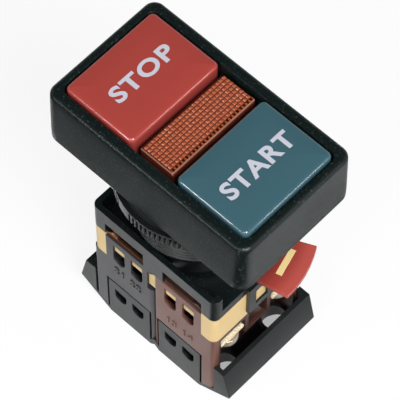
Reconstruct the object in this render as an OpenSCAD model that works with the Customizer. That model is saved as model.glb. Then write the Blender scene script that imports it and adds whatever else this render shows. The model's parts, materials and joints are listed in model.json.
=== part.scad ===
// Double pushbutton control station for a 25 mm panel hole.
// The head carries a stop button, a start button and a pilot lamp. The base behind the panel carries two
// contact blocks, side by side along Y. The origin is the centre of the bezel's underside, which seats on
// the panel. +Z points out of the panel, towards the operator, and +Y points towards the stop button.

/* [Bezel] */
// How far the bezel reaches past the neck's thread on each long side
bezel_side = 2.5; // [2.2:0.1:4]
// Width of the bezel's rim beside the caps, on each long side
bezel_wall = 3; // [2.6:0.2:3.4]
// Length of the bezel at the panel, along Y
bezel_l = 50; // [49.4:0.2:56]
// Height of the bezel above the panel
bezel_h = 14; // [13.5:0.5:17]
// How far each long side leans in over the bezel's height
side_lean = 0.6; // [0.2:0.1:1]
// How far each short side leans in over the bezel's height
end_lean = 0.2; // [0.1:0.1:0.8]
// Corner radius of the bezel seen from the front
bezel_corner_r = 3; // [2.5:0.5:5]
// Fillet round the bezel's front edge
rim_fillet = 1; // [0.6:0.2:1.6]
// Thickness of the bezel's floor
bezel_floor = 2; // [1.6:0.2:3]

/* [Buttons and lens] */
// Length of one cap, along Y
cap_l = 17.2; // [15:0.2:17.4]
// Height of a cap's skirt and crown together
cap_h = 7; // [6.4:0.2:7.4]
// Wall of a cap
cap_wall = 1; // [0.8:0.1:1.4]
// How far a cap stands proud of the bezel
cap_proud = 1; // [0.4:0.2:2]
// Travel of a button
travel = 4; // [3:0.5:4.5]
// Gap between a cap and the bezel
cap_gap = 0.4; // [0.3:0.1:0.8]
// Length of the lens between the caps, along Y
lens_l = 8.2; // [7.8:0.2:9]
// Gap between the lens and each cap
lens_gap = 1.2; // [0.8:0.1:1.3]
// How far the lens lies below the bezel's front face
lens_drop = 0.4; // [0.2:0.2:2.4]
// Number of prism rows across the lens
prism_rows = 8; // [6:1:14]

/* [Neck, nut and lamp] */
// Radius of the neck over its thread
neck_r = 12.5; // [12:0.1:13.5]
// How far the plain ends of the neck step in from the thread
neck_step = 1.5; // [1.2:0.1:1.8]
// Wall of the neck's plain end
neck_wall = 1.5; // [1.4:0.1:1.6]
// Length of the thread below the panel seat
thread_l = 16.2; // [12:0.4:18]
// Length of the neck below the panel seat
neck_l = 25.2; // [24:0.4:30]
// How far the rod guide's disc reaches past its hole in the bezel
guide_lip = 0.8; // [0.6:0.1:0.9]
// Thickness of the rod guide's disc
disc_t = 1.4; // [1:0.2:1.8]
// Distance of each push rod's centre from the neck's bore
rod_in = 1.7; // [1.6:0.1:1.9]
// Radius of a push rod
rod_r = 1.4; // [1.2:0.1:1.4]
// Thickness of the gasket
gasket_t = 1.8; // [1:0.2:2.4]
// Wall of the ring nut over its ribs
nut_wall = 3.5; // [2.5:0.5:5]
// Height of the ring nut
nut_h = 3; // [2.4:0.2:5]
// Number of ribs round the ring nut
nut_ribs = 96; // [60:12:108]
// Outer radius of the lamp holder
lamp_r = 4.7; // [4:0.1:4.7]

/* [Adapter frame and lever] */
// How far each end of the base reaches past the neck's thread, along Y
base_end = 3.7; // [3.5:0.1:5]
// Wall of the adapter frame
frame_wall = 1.2; // [0.8:0.1:1.3]
// Thickness of the adapter frame's floor
frame_floor = 1.3; // [1:0.1:2]
// Height of the side walls above that floor
frame_rise = 4.7; // [3:0.3:6]
// Depth of the frame's corner skirts below its floor
skirt_drop = 1.1; // [0.6:0.1:1.2]
// Width of each corner post on the lever's side, along X
post_w = 2.2; // [1.6:0.2:2.6]
// Width of each corner post on the far side, along X
far_post_w = 5.2; // [2:0.2:6]
// Thickness of the locking lever
lever_t = 1.3; // [1:0.1:1.4]
// How far the locking lever reaches past the frame's end
lever_out = 7.2; // [5:0.4:10]
// Width of the locking leg, along X
leg_w = 7.2; // [5:0.2:7.4]
// Thickness of the locking leg
leg_t = 0.8; // [0.6:0.1:1.4]

/* [Contact blocks] */
// Height of a contact block with its base cover
block_h = 31; // [29:0.5:35]
// Gap between the frame's skirts and the blocks' tops
block_gap = 0.7; // [0.5:0.1:1]
// Wall of a contact block
block_wall = 1.3; // [1:0.1:1.6]
// Height of a yellow retainer
retainer_h = 8.8; // [8:0.2:9.2]
// How far a retainer wraps round the side faces
retainer_wrap = 3.5; // [2.5:0.5:4]
// Radius of the screwdriver holes in a shroud
access_r = 2.6; // [2:0.1:2.8]
// How far a shroud stands out past the block at its rim
shroud_out = 2.6; // [2.2:0.2:4]
// How much further the shroud flares out at its foot
shroud_flare = 1.65; // [1:0.15:2.5]

/* [Hidden] */
$fn = 48;

// Overrun of every cut
over = 0.5;
// Slack of a running fit, on the radius
run_fit = 0.06;
// Clearance between two pieces that move apart
play = 0.1;
// Thickness of the thin layers that a hull is drawn over
skin = 0.02;
// Facets of a circle inside a hull
hull_n = 32;

// Head
bezel_w = 2*(neck_r + bezel_side);
well_w = bezel_w - 2*bezel_wall;
cap_w = well_w - 2*cap_gap;
shank_r = neck_r - neck_step;
neck_bore_r = shank_r - neck_wall;
flange_r = shank_r + guide_lip;
rod_y = neck_bore_r - rod_in;
gasket_r = neck_r + bezel_side;
cap_y = lens_l/2 + lens_gap + cap_l/2;
well_l = 2*(cap_y + cap_l/2 + cap_gap);
well_r = 1.6;
cap_r = well_r - cap_gap;
cap_edge = 0.9;
crown = 0.25;
crown_inset = 4;
cap_top = bezel_h + cap_proud;
cap_foot = cap_top - cap_h;
disc_top = bezel_floor + disc_t;
rod_out = 0.8;
rod_foot = -neck_l - rod_out;
pusher_w = 10;
pusher_l = 12;
pusher_lift = 2;
pusher_t = cap_h - cap_wall - crown - pusher_lift;
pusher_top = cap_top - cap_wall - crown;
spring_wire_r = 0.18;
return_spring_r = 2;
spring_shift = 1.2;
return_spring_y = cap_y + spring_shift;
spigot_r = 1.5;
spigot_l = 2.4;
lens_wall = 0.6;
lens_lip = 0.4;
lens_side = 0.7;
lens_w = cap_w - 2*lens_side;
lens_top = bezel_h - lens_drop;
lens_foot_w = 3;
lens_lift = 1.6;
prism_h = 0.35;
lamp_rim = 0.6;
lamp_rim_t = 0.8;
lamp_glass_r = 3.4;
lamp_wall = 0.7;
lamp_l = 21.2;
glass_gap = 2;
glass_top = lens_top - lens_wall - glass_gap;
groove_depth = 0.8;
thread_rings = 5;
thread_depth = 0.4;
guide_l = 1.2;

// Heights behind the panel
nut_r = neck_r + nut_wall;
nut_top = -gasket_t;
floor_under = -neck_l;
floor_top = floor_under + frame_floor;
frame_top = floor_top + frame_rise;
skirt_foot = floor_under - skirt_drop;
block_top = skirt_foot - block_gap;
block_foot = block_top - block_h;
retainer_foot = skirt_foot - retainer_h;
lever_lift = 0.2;

// Adapter frame and lever
base_w = 2*neck_r;
base_l = 2*(neck_r + base_end);
frame_corner_r = 1.5;
frame_in_w = base_w - 2*frame_wall;
frame_in_l = base_l - 2*frame_wall;
side_wall_h = 3.5;
tab_l = 5.2;
tab_drop = block_gap;
leg_drop = 7.3;
leg_window_w = 3.2;
leg_window_h = 5;
leg_window_drop = 0.5;
lever_in_r = shank_r - groove_depth + play;
lever_ring_w = 4.6;
mark_l = 6.2;
mark_w = 1.3;
mark_t = 0.5;
mark_out = 2.8;
lever_r = base_l/2 + lever_out;
lever_left_out = 0.8;
lever_right_out = 2.8;
mark_r = base_l/2 + mark_out;
mark_turn = 15.5;

// Contact block, drawn on the +Y side with its seam at y = 0
block_l = base_l/2;
side_wall = 1.9;
block_corner_r = 1;
roof = 1.5;
term_in = 1.8;
term_y = block_l - term_in;
term_side = 5.2;
term_x = base_w/2 - term_side;
post_half = leg_w/2;
partition_t = 1;
chamber_d = 4.6;
chamber_y = block_l - chamber_d;
ceiling_drop = 1.2;
ceiling = retainer_foot - ceiling_drop;
post_h = 6.1;
post_foot = ceiling - post_h;
recess_floor = 0.8;
recess_lip = 0.9;
retainer_t = 1;
retainer_plan_r = 1.6;
arm_t = 0.8;
boss_in = 0.45;
boss_foot = 4.5;
hook_foot = 6.2;
arm_h = 3;
arm_drop = 1.2;
arm_top = block_top - arm_drop;
window_w = 3.1;
window_h = 6.3;
window_drop = 1.9;
window_rim = 0.5;
window_side = 0.6;
window_pitch = 4.75;
panel_y = 6.85;
grey_notch = 1.6;
brown_notch = 0.45;
arm_back = 0.1;
seam_notch_h = 6.6;
seam_notch_drop = 1;
panel_l = 11.2;
panel_h = 13.5;
panel_gap = 0.5;
small_window_h = 3.8;
small_window_drop = 2.45;
ledge_h = 1.8;
cover_t = 1;
bevel = 1.1;
flat_in = 4;
flat_l = block_l - flat_in;
rim_drop = 18.2;
flare_drop = 7.7;
shroud_wall = 1;
chimney_wall = 0.8;
chimney_h = 4.2;
rim_z = block_top - rim_drop;
flare_z = rim_z - flare_drop;
rim_y = block_l + shroud_out;
flare_y = rim_y + shroud_flare;
foot_slope = (flare_z - block_foot)/(flare_y - flat_l);

// Contacts
strip_t = 0.8;
strip_w = 6.4;
tip_w = 2.6;
tip_x = 4.6;
stem_r = 2.5;
carrier_w = 4;
carrier_l = 4.8;
carrier_top = rod_foot - play/2;
cage_gap = 1.5;
cage_top = block_top - roof - cage_gap;
cage_h = 15;
bridge_w = 12.6;
bridge_l = 3;
bridge_t = 0.8;
cage_slot_l = bridge_l + 2*play;
riser_y = chamber_y - block_wall - strip_t;
step_drop = 5.6;
open_bridge_z = ceiling - step_drop + strip_t + travel + play;
closed_bridge_z = ceiling - strip_t - play/2 - bridge_t;
contact_spring_r = 1.2;
contact_spring_l = 4.6;
cage_slot_h = bridge_t + contact_spring_l;
carrier_spring_r = 2.2;
clamp_t = 1.15;
clamp_w = 6.5;
clamp_l = 4.6;
clamp_gap = 0.75;
clamp_out = 0.1;
clamp_z = ceiling - strip_t - clamp_gap;
screw_r = 1.5;
screw_head_r = 2.6;
screw_head_t = 2;
screw_slot_w = 0.8;
screw_slot_d = 0.9;
screw_top = retainer_foot - 2*play;
clip_t = 0.6;
clip_in = 0.4;
clip_h = 0.9;
clip_rise = 0.9;
clip_bend = 1.3;

// A rounded rectangle, centred
module rounded_rect(w, l, r) {
    square([w - 2*r, l], center = true);
    square([w, l - 2*r], center = true);
    for (i = [-1, 1], j = [-1, 1]) translate([i*(w/2 - r), j*(l/2 - r)]) circle(r);
}

// A block with rounded upright edges, standing on z
module slab(w, l, h, r, z) {
    translate([0, 0, z]) linear_extrude(h) rounded_rect(w, l, r);
}

// A thin layer of a hull, drawn in by inset on every side
module layer(w, l, r, inset, z) {
    translate([0, 0, z]) linear_extrude(skin)
        rounded_rect(w - 2*inset, l - 2*inset, r, $fn = hull_n);
}

// A plain box given by its low and high corners
module box(low, high) {
    translate(low) cube(high - low);
}

// Its children on the brown side, mirrored from the grey side
module brown_side() {
    mirror([0, 1, 0]) children();
}

// Its children on both X sides of a contact block
module both_x() {
    children();
    mirror([1, 0, 0]) children();
}

// A coil spring standing on z, swept as one tube of six-sided rings
module coil(mean_r, length, turns, z) {
    sides = 6;
    steps = turns*8;
    climb = length - 2*spring_wire_r;
    ring = [for (i = [0:steps]) let (a = 360*turns*i/steps) [for (k = [0:sides - 1])
        let (b = 360*k/sides, r = mean_r + spring_wire_r*cos(b))
        [r*cos(a), r*sin(a), spring_wire_r*(1 + sin(b)) + climb*i/steps]]];
    points = [for (r = ring) each r];
    last = steps*sides;
    faces = [[for (k = [0:sides - 1]) k], [for (k = [sides - 1:-1:0]) last + k],
        for (i = [0:steps - 1], k = [0:sides - 1]) let (m = (k + 1)%sides)
        each [[i*sides + k, (i + 1)*sides + k, (i + 1)*sides + m],
        [i*sides + k, (i + 1)*sides + m, i*sides + m]]];
    translate([0, 0, z]) polyhedron(points, faces);
}

module bezel() {
    top = bezel_h - skin;
    color([0.12, 0.12, 0.13]) difference() {
        hull() {
            layer(bezel_w, bezel_l, bezel_corner_r, 0, 0);
            for (a = [0:30:90]) layer(bezel_w - 2*side_lean, bezel_l - 2*end_lean, bezel_corner_r - side_lean,
                rim_fillet*(1 - cos(a)), top - rim_fillet*(1 - sin(a)));
        }
        slab(well_w, well_l, bezel_h, well_r, bezel_floor);
        translate([0, 0, -over]) cylinder(r = shank_r, h = bezel_floor + 2*over);
    }
}

// The neck: a plain end in the bezel, the thread, and a plain end with the lever's groove. The thread is
// drawn as a few plain rings
module threaded_neck() {
    ring_step = thread_l/thread_rings;
    groove_foot = floor_top;
    groove_top = floor_top + lever_t + 2*lever_lift;
    color([0.1, 0.1, 0.11]) rotate_extrude() polygon([[neck_bore_r, floor_under], [shank_r, floor_under],
        [shank_r, groove_foot], [shank_r - groove_depth, groove_foot], [shank_r - groove_depth, groove_top],
        [shank_r, groove_top], [shank_r, -thread_l],
        for (i = [0:thread_rings - 1]) let (z = i*ring_step - thread_l) each [[neck_r - thread_depth, z],
        [neck_r, z + thread_depth], [neck_r, z + ring_step - thread_depth]],
        [neck_r - thread_depth, 0], [shank_r, 0], [shank_r, bezel_floor], [neck_bore_r, bezel_floor]]);
}

// The disc on the bezel's floor that guides both rods and holds the lamp, with a spigot in the neck's bore.
// It ends short of the return springs
module rod_guide() {
    spring_in_y = return_spring_y - return_spring_r - spring_wire_r - play;
    color([0.12, 0.12, 0.12]) difference() {
        union() {
            translate([0, 0, bezel_floor]) cylinder(r = flange_r, h = disc_t);
            translate([0, 0, bezel_floor - guide_l]) cylinder(r = neck_bore_r, h = guide_l + disc_t/2);
        }
        for (j = [-1, 1]) translate([0, j*rod_y, 0]) cylinder(r = rod_r + run_fit, h = bezel_h);
        cylinder(r = lamp_r + run_fit, h = bezel_h);
        for (j = [-1, 1]) scale([1, j, 1]) box([-bezel_w, spring_in_y, 0], [bezel_w, bezel_l, bezel_h]);
    }
}

module gasket() {
    color([0.16, 0.16, 0.16]) translate([0, 0, -gasket_t]) difference() {
        cylinder(r = gasket_r, h = gasket_t);
        translate([0, 0, -over]) cylinder(r = neck_r + run_fit, h = gasket_t + 2*over);
    }
}

// The ring nut, grooved all round but for four smooth lands
module ring_nut() {
    rib_d = nut_wall/5;
    pitch = 360/nut_ribs;
    land = 15;
    land_turn = 164;
    gap_w = PI*nut_r/nut_ribs;
    lip = nut_h/8;
    color([0.13, 0.13, 0.13]) translate([0, 0, nut_top - nut_h]) difference() {
        cylinder(r = nut_r, h = nut_h);
        translate([0, 0, -over]) cylinder(r = neck_r + run_fit, h = nut_h + 2*over);
        rotate(land_turn) for (q = [0:90:270], a = [land/2:pitch:90 - land/2]) rotate(q + a)
            translate([nut_r - rib_d, -gap_w/2, -over]) cube([rib_d + over, gap_w, nut_h - lip + over]);
    }
}

// A button cap about its own centre line
module cap() {
    top = cap_top - crown - skin;
    difference() {
        hull() {
            layer(cap_w, cap_l, cap_r, 0, cap_foot);
            for (a = [0:30:90]) layer(cap_w, cap_l, cap_r, cap_edge*(1 - cos(a)), top - cap_edge*(1 - sin(a)));
            layer(cap_w, cap_l, cap_r, crown_inset, cap_top - skin);
        }
        slab(cap_w - 2*cap_wall, cap_l - 2*cap_wall, cap_h - cap_wall - crown + over, cap_r/2, cap_foot - over);
    }
}

module stop_button() {
    color([0.66, 0.24, 0.2]) translate([0, cap_y, 0]) cap();
}

module start_button() {
    color([0.25, 0.4, 0.43]) translate([0, -cap_y, 0]) cap();
}

// The carrier plate under a cap, with the rod that reaches the contact block and the spring's spigot
module pusher() {
    inner = cap_y - cap_l/2 + cap_wall;
    under = pusher_top - pusher_t;
    color([0.82, 0.8, 0.74]) {
        translate([0, inner + pusher_l/2, 0]) slab(pusher_w, pusher_l, pusher_t, rod_r, under);
        translate([0, rod_y, rod_foot]) cylinder(r = rod_r, h = under - rod_foot + pusher_t/2);
        translate([0, return_spring_y, under - spigot_l]) cylinder(r = spigot_r, h = spigot_l + pusher_t/2);
    }
}

module stop_pusher() {
    pusher();
}

module start_pusher() {
    brown_side() pusher();
}

module stop_return_spring() {
    color([0.75, 0.75, 0.76]) translate([0, return_spring_y, 0])
        coil(return_spring_r, pusher_top - pusher_t - bezel_floor, 5, bezel_floor);
}

module start_return_spring() {
    brown_side() stop_return_spring();
}

// The ribbed amber window: a shell with prism rows inside a thin lip, standing on two end feet
module pilot_lens() {
    foot_z = disc_top + lens_lift;
    row = (lens_l - 2*lens_lip)/prism_rows;
    plate = lens_top - prism_h;
    color([0.72, 0.33, 0.14]) {
        difference() {
            slab(lens_w, lens_l, lens_top - foot_z, lens_lip, foot_z);
            slab(lens_w - 2*lens_wall, lens_l - 2*lens_wall, plate - lens_wall - foot_z + over, lens_lip,
                foot_z - over);
            box([lens_lip - lens_w/2, lens_lip - lens_l/2, plate],
                [lens_w/2 - lens_lip, lens_l/2 - lens_lip, lens_top + over]);
        }
        translate([lens_w/2 - lens_lip, 0, plate]) rotate([90, 0, -90]) linear_extrude(lens_w - 2*lens_lip)
            for (i = [0:prism_rows - 1]) translate([lens_lip - lens_l/2 + i*row, 0])
                polygon([[0, -skin], [row, -skin], [row, 0], [row/2, prism_h], [0, 0]]);
        both_x() box([lens_w/2 - lens_foot_w, -lens_l/4, disc_top],
            [lens_w/2 - lens_wall, lens_l/4, foot_z + skin]);
        both_x() box([lens_w/2 - lens_foot_w, -lens_l/2 + lens_wall/2, foot_z],
            [lens_w/2 - lens_wall/2, lens_l/2 - lens_wall/2, foot_z + lens_wall]);
    }
}

module lamp_holder() {
    color([0.9, 0.88, 0.8]) difference() {
        union() {
            translate([0, 0, disc_top - lamp_l]) cylinder(r = lamp_r, h = lamp_l);
            translate([0, 0, disc_top]) cylinder(r = lamp_r + lamp_rim, h = lamp_rim_t);
        }
        translate([0, 0, disc_top + lamp_rim_t - lamp_l]) cylinder(r = lamp_glass_r + play, h = lamp_l + over);
    }
}

module lamp_bulb() {
    foot = disc_top + lamp_rim_t - lamp_l;
    body_l = glass_top - lamp_glass_r - foot;
    color([0.95, 0.8, 0.6, 0.6]) translate([0, 0, foot]) rotate_extrude() {
        square([lamp_glass_r, body_l]);
        intersection() {
            translate([0, body_l]) circle(lamp_glass_r);
            translate([0, body_l - skin]) square(lamp_glass_r + skin);
        }
    }
}

// The tray that joins the contact blocks to the neck
module adapter_frame() {
    mid = (floor_top + floor_under)/2;
    color([0.2, 0.2, 0.21]) difference() {
        union() {
            difference() {
                slab(base_w, base_l, frame_top - skirt_foot, frame_corner_r, skirt_foot);
                slab(frame_in_w, frame_in_l, frame_top - floor_top + over, frame_corner_r/2, floor_top);
                slab(frame_in_w, frame_in_l, skirt_drop + over, frame_corner_r/2, skirt_foot - over);
                box([post_w - base_w/2, -base_l/2 - 2*frame_wall, floor_top],
                    [base_w/2 - post_w, 2*frame_wall - base_l/2, frame_top + over]);
                box([far_post_w - base_w/2, base_l/2 - 2*frame_wall, floor_top],
                    [base_w/2 - far_post_w, base_l/2 + 2*frame_wall, frame_top + over]);
                for (i = [-1, 1], j = [-1, 1])
                    translate([i*base_w/2, j*(block_l + tab_l/2 - retainer_wrap)/2, 0])
                    box([-frame_wall, (retainer_wrap + tab_l/2 - block_l)/2, skirt_foot - over],
                        [frame_wall, (block_l - retainer_wrap - tab_l/2)/2, frame_top - side_wall_h]);
            }
            for (i = [-1, 1]) translate([i*(base_w/2 - frame_wall/2), 0, 0])
                box([-frame_wall/2, -tab_l/2, skirt_foot - tab_drop], [frame_wall/2, tab_l/2, mid]);
            for (j = [-1, 1]) scale([1, j, 1]) leg();
        }
        translate([0, 0, floor_under - over]) cylinder(r = shank_r + run_fit, h = frame_floor + 2*over);
    }
}

// One locking leg, hooked over a retainer through its window
module leg() {
    window_top = skirt_foot - leg_window_drop;
    difference() {
        box([-leg_w/2, block_l - frame_wall/2, skirt_foot],
            [leg_w/2, block_l + leg_t, floor_top - frame_floor/2]);
        box([-leg_w, block_l - frame_wall, skirt_foot - over], [leg_w, block_l, skirt_foot]);
    }
    difference() {
        box([-leg_w/2, block_l, skirt_foot - leg_drop], [leg_w/2, block_l + leg_t, skirt_foot + skirt_drop]);
        box([-leg_window_w/2, block_l - over, window_top - leg_window_h],
            [leg_window_w/2, block_l + leg_t + over, window_top]);
    }
}

// The plan of the lever: a segment that rides in the neck's groove and a handle that leaves the frame
module lever_plan() {
    ring_r = lever_in_r + lever_ring_w;
    difference() {
        polygon([[0, 0], for (a = [-106:4:-46]) ring_r*[cos(a), sin(a)]]);
        circle(lever_in_r);
    }
    left_r = base_l/2 + lever_left_out;
    right_r = base_l/2 + lever_right_out;
    polygon([(ring_r - over)*[cos(-96), sin(-96)], left_r*[cos(-95), sin(-95)], for (a = [-90:5:-60])
        lever_r*[cos(a), sin(a)], right_r*[cos(-59), sin(-59)], (ring_r - over)*[cos(-62), sin(-62)]]);
}

module locking_lever() {
    z = floor_top + lever_lift;
    color([0.72, 0.25, 0.22]) difference() {
        translate([0, 0, z]) linear_extrude(lever_t) lever_plan();
        mark_place(mark_t, play);
    }
}

// The inlaid bar on the lever, also used to cut its recess
module mark_place(depth, extra) {
    translate([0, 0, floor_top + lever_lift + lever_t - depth]) rotate(mark_turn)
        translate([-mark_l/2, -mark_r - mark_w/2, 0]) cube([mark_l, mark_w, depth + extra]);
}

module lever_mark() {
    color([0.95, 0.82, 0.45]) mark_place(mark_t, 0);
}

// A window with a round foot, cut along X from x outwards
module round_window(y, z_top, w, h, x) {
    translate([x, y, 0]) rotate([90, 0, 90]) linear_extrude(2*base_w) {
        translate([-w/2, z_top - h + w/2]) square([w, h - w/2]);
        translate([0, z_top - h + w/2]) circle(w/2);
    }
}

// Height at y of the sloping underside, drawn in by t
function slope_z(y, t) = block_foot + t*sqrt(1 + foot_slope*foot_slope) + foot_slope*(y - flat_l);

// A block in the YZ plane above its underside, drawn in by t and cut off at y_end
module block_profile(t, y_end) {
    bend = flat_l + t*(1 - sqrt(1 + foot_slope*foot_slope))/foot_slope;
    polygon([[-over, block_top + over], [y_end, block_top + over], [y_end, slope_z(y_end, t)],
        [bend, block_foot + t], [bevel + t, block_foot + t], [-over, block_foot + bevel + 2*t + over]]);
}

// Extrudes a YZ profile over the width w, centred on X
module across(w) {
    translate([-w/2, 0, 0]) rotate([90, 0, 90]) linear_extrude(w) children();
}

// The moulded body of one contact block, whose half of the seam's notch is notch deep
module housing(notch) {
    inner_x = base_w/2 - block_wall;
    rim_x = base_w/2 - window_rim;
    window_top = block_top - window_drop;
    panel_top = block_foot + panel_h;
    difference() {
        intersection() {
            translate([0, block_l/2, 0]) slab(base_w, block_l, block_h, block_corner_r, block_foot);
            across(2*base_w) block_profile(cover_t, block_l + over);
        }
        box([-inner_x, block_wall, block_foot - over], [inner_x, chamber_y - block_wall, block_top - roof]);
        translate([0, rod_y, block_top - roof - over]) cylinder(r = stem_r + run_fit, h = roof + 2*over);
        both_x() {
            box([post_half, chamber_y, block_foot - over], [base_w/2 - side_wall, block_l + over, ceiling]);
            box([term_x - strip_w/2, riser_y, ceiling - strip_t],
                [term_x + strip_w/2, chamber_y + over, ceiling]);
            box([base_w/2 - retainer_t, block_l - retainer_wrap, retainer_foot],
                [base_w, block_l + over, block_top + over]);
            box([inner_x - arm_t, -over, arm_top - arm_h], [inner_x, block_l - retainer_wrap/2, arm_top]);
            box([inner_x - arm_t, block_l - retainer_wrap, arm_top - arm_h],
                [base_w/2, block_l - retainer_wrap/2, arm_top]);
            box([base_w/2 - block_wall - over, panel_y - panel_l/2 - panel_gap, block_foot - over],
                [base_w, panel_y + panel_l/2 + panel_gap, panel_top + panel_gap]);
            box([inner_x - over, -over, block_top - seam_notch_drop - seam_notch_h],
                [base_w, notch, block_top - seam_notch_drop]);
            for (k = [-1, 1]) translate([0, panel_y + k*window_pitch/2, window_top - window_h])
                box([inner_x - over, -window_w/2 - window_side, -window_side],
                    [rim_x, window_w/2 + window_side, window_h]);
            translate([term_x, term_y, ceiling - over])
                cylinder(r = screw_r + run_fit, h = screw_top + play - ceiling + over);
        }
        box([-base_w, block_l - retainer_t, retainer_foot], [base_w, block_l + over, block_top + over]);
        for (k = [-1, 1]) round_window(panel_y + k*window_pitch/2, window_top, window_w, window_h, -base_w);
        box([-post_half, chamber_y, block_foot - over], [post_half, block_l + over, post_foot]);
        box([partition_t - post_half, chamber_y + block_wall, post_foot + recess_floor],
            [post_half - partition_t, block_l + over, retainer_foot + over]);
        box([partition_t - post_half, chamber_y + block_wall, post_foot - over],
            [post_half - partition_t, block_l - recess_lip, retainer_foot - over]);
    }
}

module grey_housing() {
    color([0.44, 0.44, 0.47]) housing(grey_notch);
}

module brown_housing() {
    color([0.5, 0.4, 0.37]) brown_side() housing(brown_notch);
}

// The dark cover that closes a block from behind and flares out into the terminal shroud
module base_cover() {
    panel_top = block_foot + panel_h;
    in_y = flare_y - shroud_wall;
    bend = flat_l + cover_t*(1 - sqrt(1 + foot_slope*foot_slope))/foot_slope;
    rim_x = base_w/2 - window_rim;
    hole_top = panel_top - small_window_drop;
    difference() {
        union() {
            across(base_w) polygon([[0, block_foot + bevel], [bevel, block_foot], [flat_l, block_foot],
                [flare_y, flare_z], [rim_y, rim_z], [rim_y - shroud_wall, rim_z], [in_y, slope_z(in_y, cover_t)],
                [bend, block_foot + cover_t], [bevel + cover_t, block_foot + cover_t],
                [0, block_foot + bevel + 2*cover_t]]);
            both_x() translate([(base_w - shroud_wall)/2, 0, 0]) across(shroud_wall)
                polygon([[block_l, rim_z], [rim_y - shroud_wall/2, rim_z], [flare_y - shroud_wall/2, flare_z],
                [block_l, slope_z(block_l, cover_t/2)]]);
            both_x() box([base_w/2 - block_wall, panel_y - panel_l/2, block_foot + cover_t/2],
                [base_w/2, panel_y + panel_l/2, panel_top]);
            both_x() intersection() {
                translate([term_x, term_y, block_foot]) cylinder(r = access_r + chimney_wall, h = chimney_h);
                translate([post_half + play + base_w/4, 0, 0]) across(base_w/2) polygon([
                    [chamber_y + play, slope_z(chamber_y, cover_t/2)],
                    [flare_y, slope_z(flare_y, cover_t/2)], [flare_y, flare_z + block_h],
                    [chamber_y + play, flare_z + block_h]]);
            }
        }
        for (k = [-1, 1]) both_x() {
            round_window(panel_y + k*window_pitch/2, hole_top, window_w, small_window_h, rim_x);
            translate([0, panel_y + k*window_pitch/2, hole_top])
                box([base_w/2 - block_wall - over, -window_w/2 - window_side, -small_window_h - window_side],
                    [rim_x, window_w/2 + window_side, -ledge_h]);
        }
        both_x() translate([term_x, term_y, block_foot - over]) cylinder(r = access_r, h = block_h/2);
    }
}

module grey_base_cover() {
    color([0.36, 0.36, 0.38]) base_cover();
}

module brown_base_cover() {
    color([0.34, 0.34, 0.36]) brown_side() base_cover();
}

// The yellow clip across a block's end. Each arm runs inside a side wall, from_y from the seam, and its
// bosses snap into the windows
module retainer(from_y) {
    inner_x = base_w/2 - block_wall;
    boss_x = base_w/2 - boss_in;
    boss_top = block_top - window_drop - play/2;
    nib_h = leg_window_h - 2*play;
    color([0.95, 0.85, 0.58]) {
        difference() {
            translate([0, block_l/2, 0]) slab(base_w, block_l, retainer_h, retainer_plan_r, retainer_foot);
            box([-base_w, -over, retainer_foot - over], [base_w, block_l - retainer_wrap, skirt_foot + over]);
            box([retainer_t - base_w/2, -over, retainer_foot - over],
                [base_w/2 - retainer_t, block_l - retainer_t, skirt_foot + over]);
        }
        both_x() box([inner_x - arm_t, from_y, arm_top - arm_h], [inner_x, block_l - retainer_wrap/2, arm_top]);
        both_x() for (k = [-1, 1]) translate([0, panel_y + k*window_pitch/2, 0])
            box([inner_x - arm_t/2, play/2 - window_w/2, block_top - boss_foot],
                [boss_x, window_w/2 - play/2, boss_top]);
        both_x() box([inner_x - arm_t, block_l - retainer_wrap + play, arm_top - arm_h],
            [base_w/2 - retainer_t/2, block_l - retainer_wrap/2, arm_top]);
        box([play - leg_window_w/2, block_l - retainer_t/2, skirt_foot - leg_window_drop - play - nib_h],
            [leg_window_w/2 - play, block_l + leg_t/2, skirt_foot - leg_window_drop - play]);
    }
}

// The grey block's retainer also has the hooks that fill the seam's notches
module grey_retainer() {
    retainer(arm_back);
    hook_top = arm_top - play;
    color([0.95, 0.85, 0.58]) both_x()
        box([base_w/2 - block_wall - arm_t/2, play - brown_notch, block_top - hook_foot],
        [base_w/2 - boss_in, grey_notch - play, hook_top]);
}

module brown_retainer() {
    brown_side() retainer(brown_notch + arm_back);
}

// The sprung strips that stand on a block's side walls and show in the frame's slots, each with a hump
module clip_strip() {
    x = base_w/2 - clip_in - clip_t;
    far = block_l - retainer_wrap - play;
    foot = block_top;
    both_x() translate([x + clip_t/2, 0, 0]) across(clip_t) polygon([[tab_l/2 + play, foot], [far, foot],
        [far, foot + clip_h], [far - clip_bend, foot + clip_h + clip_rise], [far - 2*clip_bend, foot + clip_h],
        [tab_l/2 + play, foot + clip_h]]);
}

module grey_clip_strip() {
    color([0.75, 0.45, 0.32]) clip_strip();
}

module brown_clip_strip() {
    color([0.32, 0.2, 0.15]) brown_side() clip_strip();
}

// A contact carrier: a stem under the push rod and a cage that holds the bridge and its spring
module carrier(slot_top, slot_h) {
    color([0.86, 0.8, 0.66]) translate([0, rod_y, 0]) {
        translate([0, 0, cage_top - skin]) cylinder(r = stem_r, h = carrier_top - cage_top + skin);
        difference() {
            box([-carrier_w/2, -carrier_l/2, cage_top - cage_h], [carrier_w/2, carrier_l/2, cage_top]);
            box([-carrier_w, -cage_slot_l/2, slot_top - slot_h], [carrier_w, cage_slot_l/2, slot_top]);
        }
    }
}

module grey_carrier() {
    carrier(closed_bridge_z + bridge_t, cage_slot_h);
}

module brown_carrier() {
    brown_side() carrier(open_bridge_z + cage_slot_h, cage_slot_h);
}

// The bar that joins the two fixed contacts
module bridge(z) {
    color([0.8, 0.5, 0.33]) translate([0, rod_y, z])
        box([-bridge_w/2, -bridge_l/2, 0], [bridge_w/2, bridge_l/2, bridge_t]);
}

module grey_bridge() {
    bridge(closed_bridge_z);
}

module brown_bridge() {
    brown_side() bridge(open_bridge_z);
}

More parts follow.
